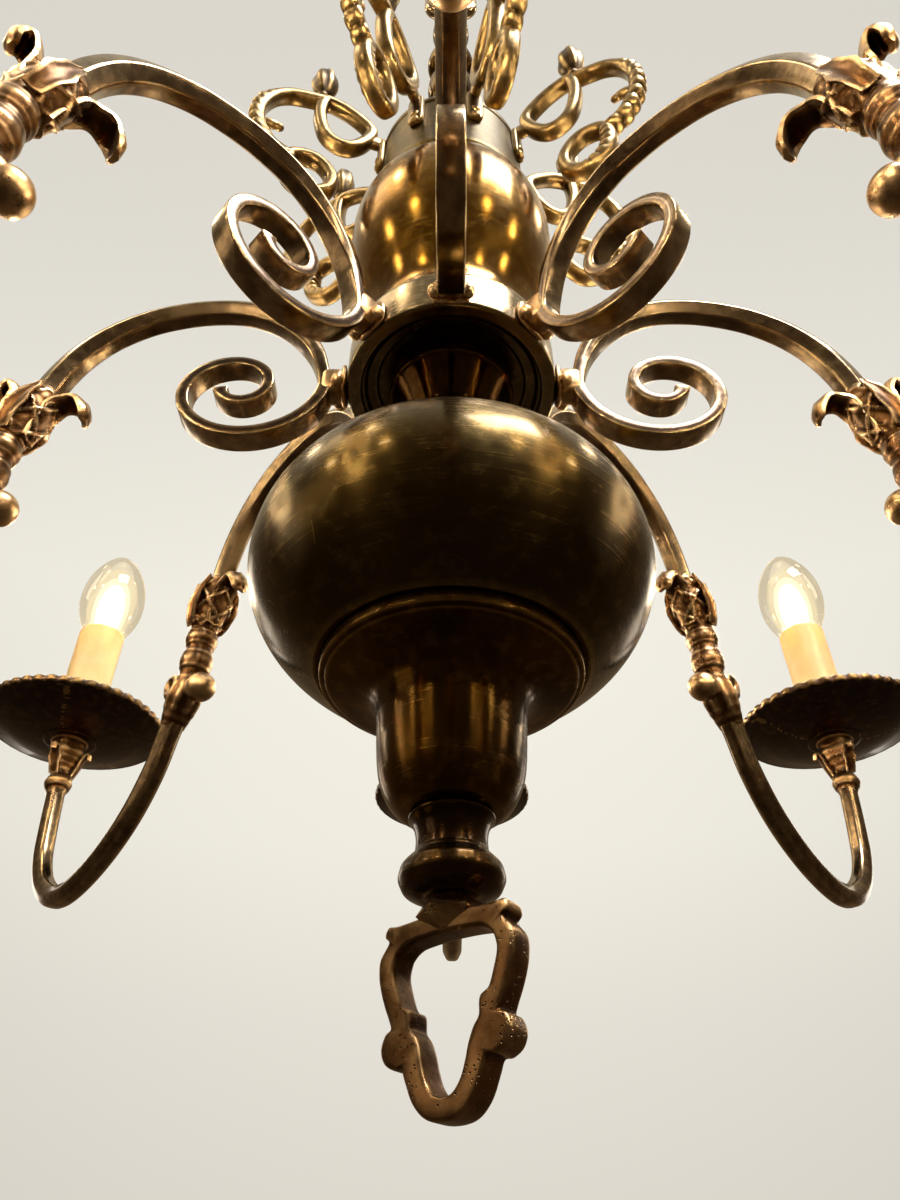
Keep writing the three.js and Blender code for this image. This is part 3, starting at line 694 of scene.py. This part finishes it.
def turned_skin(shape, route, radii, sides, pattern):
    """Round sections along the part of a route between the first and last height in radii."""
    part = [p for p in route if radii[0][0] <= p[1] <= radii[-1][0]]

    def section(t, i):
        height = part[i][1]
        out = []
        for k in range(sides):
            angle = 2 * math.pi * k / sides
            radius = table(radii, height) + pattern(height, angle)
            out.append((radius * math.cos(angle), radius * math.sin(angle)))
        return out
    shape.sweep(part, section)


def leaf_ribs(h, angle):
    """Crossing leaf ribs cast on the collar, and shallow flutes on its lower boss."""
    if h < 183:
        return 0.35 * math.cos(8 * angle) * ease((h - 166) / 5) * ease((183 - h) / 5)
    if h < 207:
        return 0.0
    strength = ease((h - 208) / 4) * ease((233 - h) / 5)
    turn = 4 * angle / (2 * math.pi)
    rise = (h - 208) / 13.0

    def ridge(x):
        d = abs((x % 1.0) - 0.5) * 2
        return max(0.0, 1 - d / 0.34) ** 1.3
    crossing = max(ridge(turn + rise), ridge(turn - rise))
    return strength * (1.15 * crossing - 0.45)


def arm_mesh():
    shape = Shape()
    coil = volute_route(150)
    arch = smooth([coil[-1]] + ARCH + [LOWER[0]], 110)[1:-1]
    lower = smooth([ARCH[-1]] + LOWER, 330)
    route = coil + arch + [p for p in lower if p[1] < arch[-1][1] - 0.3 or p[0] > 160]
    n_coil, n_arch = len(coil), len(coil) + len(arch)

    def section(t, i):
        if i < n_coil:
            s = i / (n_coil - 1)
            swell = 1 + 0.5 * math.exp(-(i / 7) ** 2)
            return arm_section((1.9 + 0.5 * s) * swell, 4.1 + 0.3 * s, 0.96, 0.6)
        if i < n_arch:
            s = ease((i - n_coil) / (n_arch - n_coil) / 0.4)
            return arm_section(lerp(2.4, 5.0, s), lerp(4.4, 5.3, s), lerp(0.96, 0.5, s), 0.8)
        s = (i - n_arch) / (len(route) - n_arch)
        size = lerp(5.2, 4.5, s)
        return arm_section(size, size * 1.03, 0.5, 1.5)

    # the bar ends in a point a little beyond the eye of the volute
    point = 1.2
    first, second = route[0], route[2]
    back = math.dist(first, second)
    tip = [first[k] + (first[k] - second[k]) / back * point for k in (0, 1)]
    shape.sweep(route, section, tip=tip)
    bar_faces = len(shape.mats)

    dense = smooth([ARCH[-3], ARCH[-2], ARCH[-1]] + LOWER[:7], 190)
    turned_skin(shape, dense, COLLAR, 64, leaf_ribs)
    stem = smooth(LOWER[-6:], 70)
    turned_skin(shape, stem, CUP, 48,
                lambda h, a: 0.9 * math.cos(3 * a) * ease((h - 186) / 6) * ease((202 - h) / 3))

    # two large curled leaves in the plane of the arm, and two smaller ones across it
    inner = smooth([(149.6, 209), (148.2, 217), (146.2, 224.2), (142.4, 229), (137.6, 230),
                    (133.4, 227.4), (131.2, 222.8), (131, 218.4)], 46)
    outer = smooth([(156.8, 211), (157.8, 219), (157.2, 227), (158.2, 233.6), (161, 237.6),
                    (164.2, 237.2), (165.4, 233.8), (164.4, 231)], 46)
    width = lambda t: table([(0, 3.4), (0.3, 4.8), (0.6, 4.9), (0.85, 4.6), (0.97, 3.8),
                             (1, 2.4)], t)
    cup = lambda t: table([(0, 1.2), (0.4, 1.8), (0.8, 1.5), (1, 0.8)], t)
    thick = lambda t: table([(0, 2.2), (0.6, 2.8), (0.9, 3.2), (1, 1.8)], t)
    shape.leaf([(-r, h) for r, h in inner], width, cup, thick, lambda u, v, w: (-u, v, w))
    shape.leaf(outer, width, cup, thick, lambda u, v, w: (u, v, w))
    side = smooth([(6.2, 209), (7.8, 213), (8.5, 219), (8.0, 225), (6.9, 230), (6.4, 233)], 30)
    small = lambda t: table([(0, 2.6), (0.45, 3.8), (0.8, 2.4), (1, 0.9)], t)
    shallow = lambda t: table([(0, 1.0), (0.7, 1.4), (1, 0.6)], t)
    thin = lambda t: 1.3
    for way in (1, -1):
        shape.leaf(side, small, shallow, thin,
                   lambda u, v, w: (152.4 - 0.3 * (w - 218) + v, way * u, w))
    # the ball on the axis side, its stalk, and the small scroll on the outer side
    shape.blob((147.6, 0, 175.2), (6.3, 6.2, 6.2), 2.0, 28)
    shape.blob((153, 0, 177), (5, 5, 4.4), 2.3, 20)
    curl = smooth([(161, 183), (166, 180.5), (171, 181), (174.6, 184), (175.4, 188), (172.8, 190.6),
                   (169.6, 189), (169.8, 186.4)], 50)
    shape.sweep(curl, lambda t, i: arm_section(lerp(3.0, 1.7, t), lerp(4.0, 2.6, t), 0.6, 0.8))
    # trefoil leaves of the cup under the pan
    for k in range(3):
        a = 2 * math.pi * k / 3
        petal = smooth([(4.6, 183), (6.4, 188), (7.6, 193), (9.4, 196.6), (11.4, 196.2),
                        (11.6, 193.6)], 20)
        shape.leaf(petal, lambda t: table([(0, 2.4), (0.5, 3.4), (0.85, 2.3), (1, 1.4)], t),
                   lambda t: 0.9, lambda t: 1.3,
                   lambda u, v, w, a=a: (278 + u * math.cos(a) - v * math.sin(a),
                                         u * math.sin(a) + v * math.cos(a), w))
    # foot on the hub wall: block, curved flange and its beads
    shape.blob((43.6, 0, 238.2), (4.6, 5.0, 6.4), 4.0, 28)
    shape.blob((39.6, 0, 238.6), (1.3, 6.6, 7.6), 3.0, 32, wrap=HUB_R)
    for y in (5.4, -5.4):
        shape.blob((41.6 - y * y / (2 * HUB_R), y, 235.4), (2.6, 2.6, 3.0), 2.0, 20)
    # all but the bar is rougher casting
    shape.mats[bar_faces:] = [1] * (len(shape.mats) - bar_faces)
    return shape.make("arm", [arm_brass, leaf_brass], 36)


PAN_BOTTOM, BEADS = 202.6, 44
BULB_HEIGHT = 292         # of the light in each bulb


def pan_mesh():
    """The spun drip pan, its rim pressed into beads."""
    low = PAN_BOTTOM

    def wave(r, h, a):
        reach = ease((r - 43) / 1.4) * ease((h - low - 8) / 2)
        dent = reach * (0.5 - 0.5 * math.cos(BEADS * a)) ** 2
        return r - 0.7 * dent, h - 0.5 * dent
    under = [(0, low), (11.6, low), (12.8, low + 0.4), (13.2, low + 1.0), (14.6, low + 1.2)]
    under += smooth([(15.4, low + 1.3), (22, low + 2.3), (30, low + 4.2), (37, low + 6.6),
                     (42.4, low + 8.4)], 30)
    rim = [(43.8, low + 8.7), (45.1, low + 9.3), (45.5, low + 10.2), (45.5, low + 11.6),
           (45.0, low + 12.6), (44.0, low + 12.9), (42.9, low + 12.5), (42.3, low + 11.4)]
    inside = [(40, low + 9.6), (34, low + 7.4), (26, low + 5.0), (16, low + 3.2), (14, low + 2.7),
              (12.6, low + 2.4), (0, low + 2.4)]
    shape = Shape()
    shape.lathe(rounded(under + rim + inside, 0.7, 3), 264, CANDLE_R, wave=wave)
    return shape.make("pan", [pan_brass], 40)


def sleeve_mesh():
    """The candle sleeve, with low wax drips as (angle, length, width, height)."""
    bottom, top, radius, inner = 206.3, 272.4, 12.0, 10.5
    drips = [(random.uniform(0, 2 * math.pi), random.uniform(12, 44), random.uniform(0.16, 0.3),
              random.uniform(0.25, 0.5)) for _ in range(9)]

    def wave(r, h, a):
        if r < radius - 0.8:
            return r, h
        out = -0.35
        for at, length, width, size in drips:
            d = abs((a - at + math.pi) % (2 * math.pi) - math.pi)
            if h > top - length:
                out += size * math.exp(-(d / width) ** 2) * ease((h - top + length) / 4)
        return r + min(out, 0.25), h
    wall = [(radius, lerp(bottom + 0.6, top - 0.9, i / 40)) for i in range(41)]
    profile = [(inner, bottom), (radius - 0.5, bottom)] + wall + [
        (radius - 0.25, top - 0.3), (radius - 0.7, top), (inner + 0.3, top), (inner, top - 0.4),
        (inner, bottom)]
    shape = Shape()
    shape.lathe(profile, 72, CANDLE_R, wave=wave)
    return shape.make("sleeve", [sleeve_ivory], 50)


def holder_mesh():
    """The ribbed lamp holder inside the sleeve, open above for the bulb's cap."""
    floor, top = 205.1, 262.0
    shape = Shape()
    ribs = []
    for i in range(8):
        h = 214 + i * 5
        ribs += [(9.7, h), (9.7, h + 2.6), (9.1, h + 3.1), (9.1, h + 4.4)]
    shape.lathe([(0, floor), (9.7, floor), (9.7, 212)] + ribs + [
        (9.7, 256), (9.7, top - 1), (9.2, top), (7.8, top), (7.3, top - 0.6), (7.3, 238), (0, 238)],
        40, CANDLE_R)
    return shape.make("holder", [porcelain], 40)


def bulb_mesh():
    """The bulb: screw cap, glass, and the filament and halos of light inside it."""
    shape = Shape()
    cap = [(0, 240), (3.2, 240), (4, 241.4), (6.0, 243)]
    for i in range(5):
        h = 244 + i * 3
        cap += [(6.3, h), (6.8, h + 0.8), (6.8, h + 1.6), (6.3, h + 2.4)]
    shape.lathe(cap + [(6.5, 261), (6.7, 262.4), (0, 262.4)], 40, CANDLE_R, mat=1)
    outside = smooth([(6.7, 262.8), (7.6, 267), (9.8, 272), (12.8, 277.4), (15.2, 282.6),
                      (16.8, 288.4), (17.4, 294.6), (17.2, 301), (16.2, 307), (14.2, 313.2),
                      (11.4, 319), (8.4, 323.6), (5.4, 326.8), (2.8, 328.5), (0.0, 329)], 56)
    shape.lathe([(0, 262.6)] + outside, 64, CANDLE_R, mat=0)
    for radius, half, level, mat in ((5.4, 16.0, 289, 2), (7.2, 18.8, 290, 3),
                                     (9.6, 22.0, 291.4, 4), (13.0, 25.6, 294, 5)):
        shape.lathe([(0, level - half)] + ellipse(radius, half, level, -1.45, 1.45, 24)
                    + [(0, level + half)], 32, CANDLE_R, mat=mat)
    return shape.make("bulb", [bulb_glass, gilt_brass, filament, halo_in, halo_mid, halo_out], 40)


def new_light(name, kind, energy, tone, where):
    """A light that the camera doesn't see."""
    light = bpy.data.lights.new(name, kind)
    light.energy, light.color = energy, tone
    lamp = bpy.data.objects.new(name, light)
    bpy.context.scene.collection.objects.link(lamp)
    lamp.location = where
    lamp.visible_camera = False
    return lamp


def bulb_light(name, lamp, energy, gloss):
    """Light of one bulb: gloss makes the gleam on brass, the other kind lights everything else."""
    glow = new_light(name, "POINT", energy, (1.0, 0.82, 0.54), metres((CANDLE_R, 0, BULB_HEIGHT)))
    glow.data.shadow_soft_size = 0.011
    glow.parent = lamp
    glow.visible_glossy = gloss
    glow.visible_diffuse = not gloss


GLOW_WATTS, GLEAM_WATTS = 1.1, 2.9
arm, pan, sleeve, holder, bulb = (make() for make in (
    arm_mesh, pan_mesh, sleeve_mesh, holder_mesh, bulb_mesh))
FIXED = (("arm_cast", arm, "cast_brass", "arm"), ("pan_spun", pan, "pan_brass", "drip_pan"),
         ("sleeve", sleeve, "ivory_sleeve", "candle_sleeve"),
         ("holder", holder, "porcelain", "lamp_holder"))
for i in range(1, ARMS + 1):
    azimuth = (i - 1) * 360 / ARMS
    for name, mesh, slot, node in FIXED:
        place(f"{name}_{i}", mesh, "chandelier", [f"{node}_{i}"], azimuth)
    lamp = place(f"lamp_glass_{i}", bulb, f"lamp_{i}", [f"bulb_{i}"], azimuth)
    lamp.visible_shadow = False
    bulb_light(f"glow_{i}", lamp, GLOW_WATTS, gloss=False)
    bulb_light(f"gleam_{i}", lamp, GLEAM_WATTS, gloss=True)


# ---------- ornament brackets ----------
def strap_section(half, rope=0.0):
    """A soft square section; rope swells its outer side for the cast ribs."""
    out = []
    wide, soft, points = 3.8, 0.72, 16
    for k in range(points):
        a = 2 * math.pi * k / points
        u = bulge(math.cos(a), soft) * half
        v = bulge(math.sin(a), soft) * wide
        if u < 0:
            u *= 1 + rope
            v *= 1 + 0.35 * rope
        out.append((u, v))
    return out


def bracket_mesh():
    """A bracket: loop on the collar, scroll out and down from it, and the loop at its end."""
    shape = Shape()
    near = smooth([(41, 419.6), (49, 430), (58, 435.6), (65, 436), (66.4, 422), (63, 404.6),
                   (57, 397), (50, 397.4), (43.6, 407)], 90, closed=True)
    shape.sweep(near, lambda t, i: strap_section(3.1), loop=True)
    scroll = smooth([(62, 436.6), (68, 435.6), (74, 434.4), (82.4, 431.2), (89.4, 423), (93.4, 409),
                     (92.2, 394), (88.4, 384), (83, 376), (76, 371.6)], 150)
    shape.sweep(scroll, lambda t, i: strap_section(
        table([(0, 2.4), (0.12, 3.1), (0.9, 3.1), (1, 2.4)], t),
        0.5 * ease((t - 0.3) / 0.12) * abs(math.sin(math.pi * 13 * t)) ** 0.8))
    far = smooth([(75, 373), (67.4, 376), (60.6, 372.4), (56, 363), (56.8, 353), (61.2, 347.4),
                  (67, 346.4), (74, 352.4), (77, 363)], 110, closed=True)
    shape.sweep(far, lambda t, i: strap_section(
        3.0, 0.5 * ease((t - 0.55) / 0.08) * ease((1.0 - t) / 0.06)
        * abs(math.sin(math.pi * 16 * t)) ** 0.8), loop=True)
    # bud on top, leaf tip inside the scroll, plate and screws on the collar
    bud = smooth([(2.8, 433.6), (2.7, 438), (3.6, 440.2), (2.8, 442.4), (4.6, 447), (6.3, 454),
                  (6.2, 460.6), (4.8, 466), (3.0, 470), (1.6, 473)], 36)
    twist = lambda r, h, a: (r * (1 + 0.07 * math.cos(6 * a + h / 9) * ease((h - 443) / 4)), h)
    shape.lathe([(0, 433)] + bud + [(0, 474)], 36, 67, wave=twist)
    shape.blob((87.4, 0, 397.6), (5.6, 2.2, 2.8), 2.0, 16)
    shape.blob((83.2, 0, 396.8), (2.4, 1.9, 2.0), 2.0, 14)
    shape.blob((38.8, 0, 411.4), (4.8, 2.4, 4.4), 3.0, 20)
    shape.blob((35.2, 0, 400), (1.5, 4.0, 13.0), 4.5, 28, wrap=COLLAR_R)
    for h in (394, 388.6):
        shape.blob((36.0, 0, h), (1.6, 2.2, 2.2), 2.2, 20)
    return shape.make("bracket", [gilt_brass], 40)


bracket = bracket_mesh()
for i in range(BRACKETS):
    place(f"bracket_cast_{i + 1}", bracket, "chandelier",
          [f"ornament_bracket_{i + 1}"], BRACKET_TURN + i * 360 / BRACKETS)


# ---------- floor, light and camera ----------
def stage_floor():
    """A plain pale floor well below; brass neither mirrors it nor is lit by it."""
    mesh = bpy.data.meshes.new("floor")
    size, level = 30.0, -2.3
    mesh.from_pydata([(-size, -size, level), (size, -size, level), (size, size, level),
                      (-size, size, level)], [], [(0, 1, 2, 3)])
    n, here = new_nodes("floor_plaster")
    cloud = n.noise(here, 0.6, 3.0, 0.5)
    tone = n.mix(cloud, colour("#dcd7cc"), colour("#d8d3c8"))
    mesh.materials.append(n.end(SHADER, Base_Color=n.mix(0.7, tone, (0, 0, 0, 1)), Roughness=0.9,
                                Emission_Color=tone, Emission_Strength=0.86))
    floor = bpy.data.objects.new("floor", mesh)
    bpy.context.scene.collection.objects.link(floor)
    floor.visible_glossy = False
    floor.visible_diffuse = False


def soft_world():
    """A pale studio backdrop for the camera; brass mirrors a dimmer warm room."""
    world = bpy.data.worlds.new("studio")
    bpy.context.scene.world = world
    n = Nodes(world)

    def ramp(factor, stops):
        """A colour ramp through (position, colour) stops."""
        made = n.add("ValToRGB", i0=factor)
        band = made.node.color_ramp
        band.elements[0].position, band.elements[0].color = stops[0]
        band.elements[1].position, band.elements[1].color = stops[-1]
        for position, tone in stops[1:-1]:
            band.elements.new(position).color = tone
        return made

    split = n.add("SeparateXYZ", i0=n.add("TexCoord"))
    x, y, z = (split.node.outputs[k] for k in range(3))
    height, depth = n.spread(z, -1.0, 1.0), n.spread(y, -1.0, 1.0)
    seen = ramp(height, [(at, colour(code)) for at, code in (
        (0.0, "#d9d4c9"), (0.547, "#ded9ce"), (0.62, "#e5e0d5"), (0.70, "#f0ece0"),
        (0.80, "#f4f0e4"), (0.86, "#ece8dd"), (0.92, "#e2ded4"), (1.0, "#d9d4ca"))])
    fade = n.spread(n.math("MULTIPLY", x, x), 0.0, 0.2, 1.0, 0.93)
    room = ramp(height, [(0.0, (0.040, 0.027, 0.015, 1)), (0.34, (0.045, 0.030, 0.016, 1)),
                         (0.5, (0.07, 0.048, 0.027, 1)), (0.66, (0.08, 0.057, 0.033, 1)),
                         (0.78, (0.12, 0.09, 0.055, 1)), (0.88, (0.28, 0.24, 0.165, 1)),
                         (0.95, (0.5, 0.45, 0.34, 1)), (1.0, (0.5, 0.45, 0.34, 1))])
    back = ramp(depth, [(0.0, (1, 1, 1, 1)), (0.55, (1.2, 1.2, 1.2, 1)), (0.8, (2.0, 2.0, 2.0, 1)),
                        (1.0, (2.6, 2.6, 2.6, 1))])
    lit = n.add("VectorMath", props={"operation": "MULTIPLY"}, i0=room, i1=back)
    pale, dim = n.add("Background", i0=seen, i1=fade), n.add("Background", i0=lit, i1=1.0)
    n.end("World Output", Surface=n.add("MixShader", i0=n.add("LightPath"), i1=dim, i2=pale))


def soft_box(name, where, size, energy, tone):
    """A soft area light turned to MIDDLE."""
    box = new_light(name, "AREA", energy, tone, where)
    box.data.shape, box.data.size, box.data.size_y = "RECTANGLE", size[0], size[1]
    box.rotation_euler = (Vector(MIDDLE) - Vector(where)).to_track_quat("-Z", "Y").to_euler()


def room_lamps():
    """Small warm lamps of the room, on both sides, as (azimuth, elevation, watts)."""
    reach, level = 2.2, -0.34
    for azimuth, elevation, watts in ((34, 34, 10), (63, 31, 10), (58, 58, 9), (104, 54, 9)):
        for side in (1, -1):
            a, e = math.radians(side * azimuth), math.radians(elevation)
            where = (reach * math.cos(e) * math.sin(a), -reach * math.cos(e) * math.cos(a),
                     reach * math.sin(e) + level)
            lamp = new_light("room_lamp", "POINT", watts, (1.0, 0.84, 0.56), where)
            lamp.data.shadow_soft_size = 0.09


MIDDLE = (0, 0, -0.45)    # what the soft boxes are turned to
PALE = (1.0, 0.93, 0.82)
stage_floor()
soft_world()
room_lamps()
soft_box("box_ceiling", (0.84, -1.0, 1.79), (1.2, 0.8), 80, (0.97, 0.97, 0.95))
soft_box("box_ceiling_left", (-1.3, -0.5, 1.7), (1.1, 0.6), 7, (1.0, 0.8, 0.5))
soft_box("box_left", (-2.0, -0.75, -0.05), (1.0, 1.0), 2, (1.0, 0.8, 0.52))
soft_box("box_back_left", (-1.3, 1.5, 0.2), (0.6, 1.0), 4, PALE)
soft_box("box_back_right", (1.3, 1.5, 0.2), (0.6, 1.0), 4, PALE)

bpy.context.scene.view_settings.view_transform = "Standard"

# The photo looks up from just below the pull ring and in front of it.
CAMERA_AT = (0, -0.206, -0.68734)
CAMERA_RISE, CAMERA_TURN = 39.32, 0.13        # degrees above the horizon and to the left
camera = bpy.data.cameras.new("camera")
camera.sensor_width, camera.lens, camera.clip_start = 36.0, 26.82, 0.005
viewer = bpy.data.objects.new("camera", camera)
bpy.context.scene.collection.objects.link(viewer)
viewer.location = CAMERA_AT
viewer.rotation_euler = (math.radians(90 + CAMERA_RISE), 0, math.radians(CAMERA_TURN))
bpy.context.scene.camera = viewer
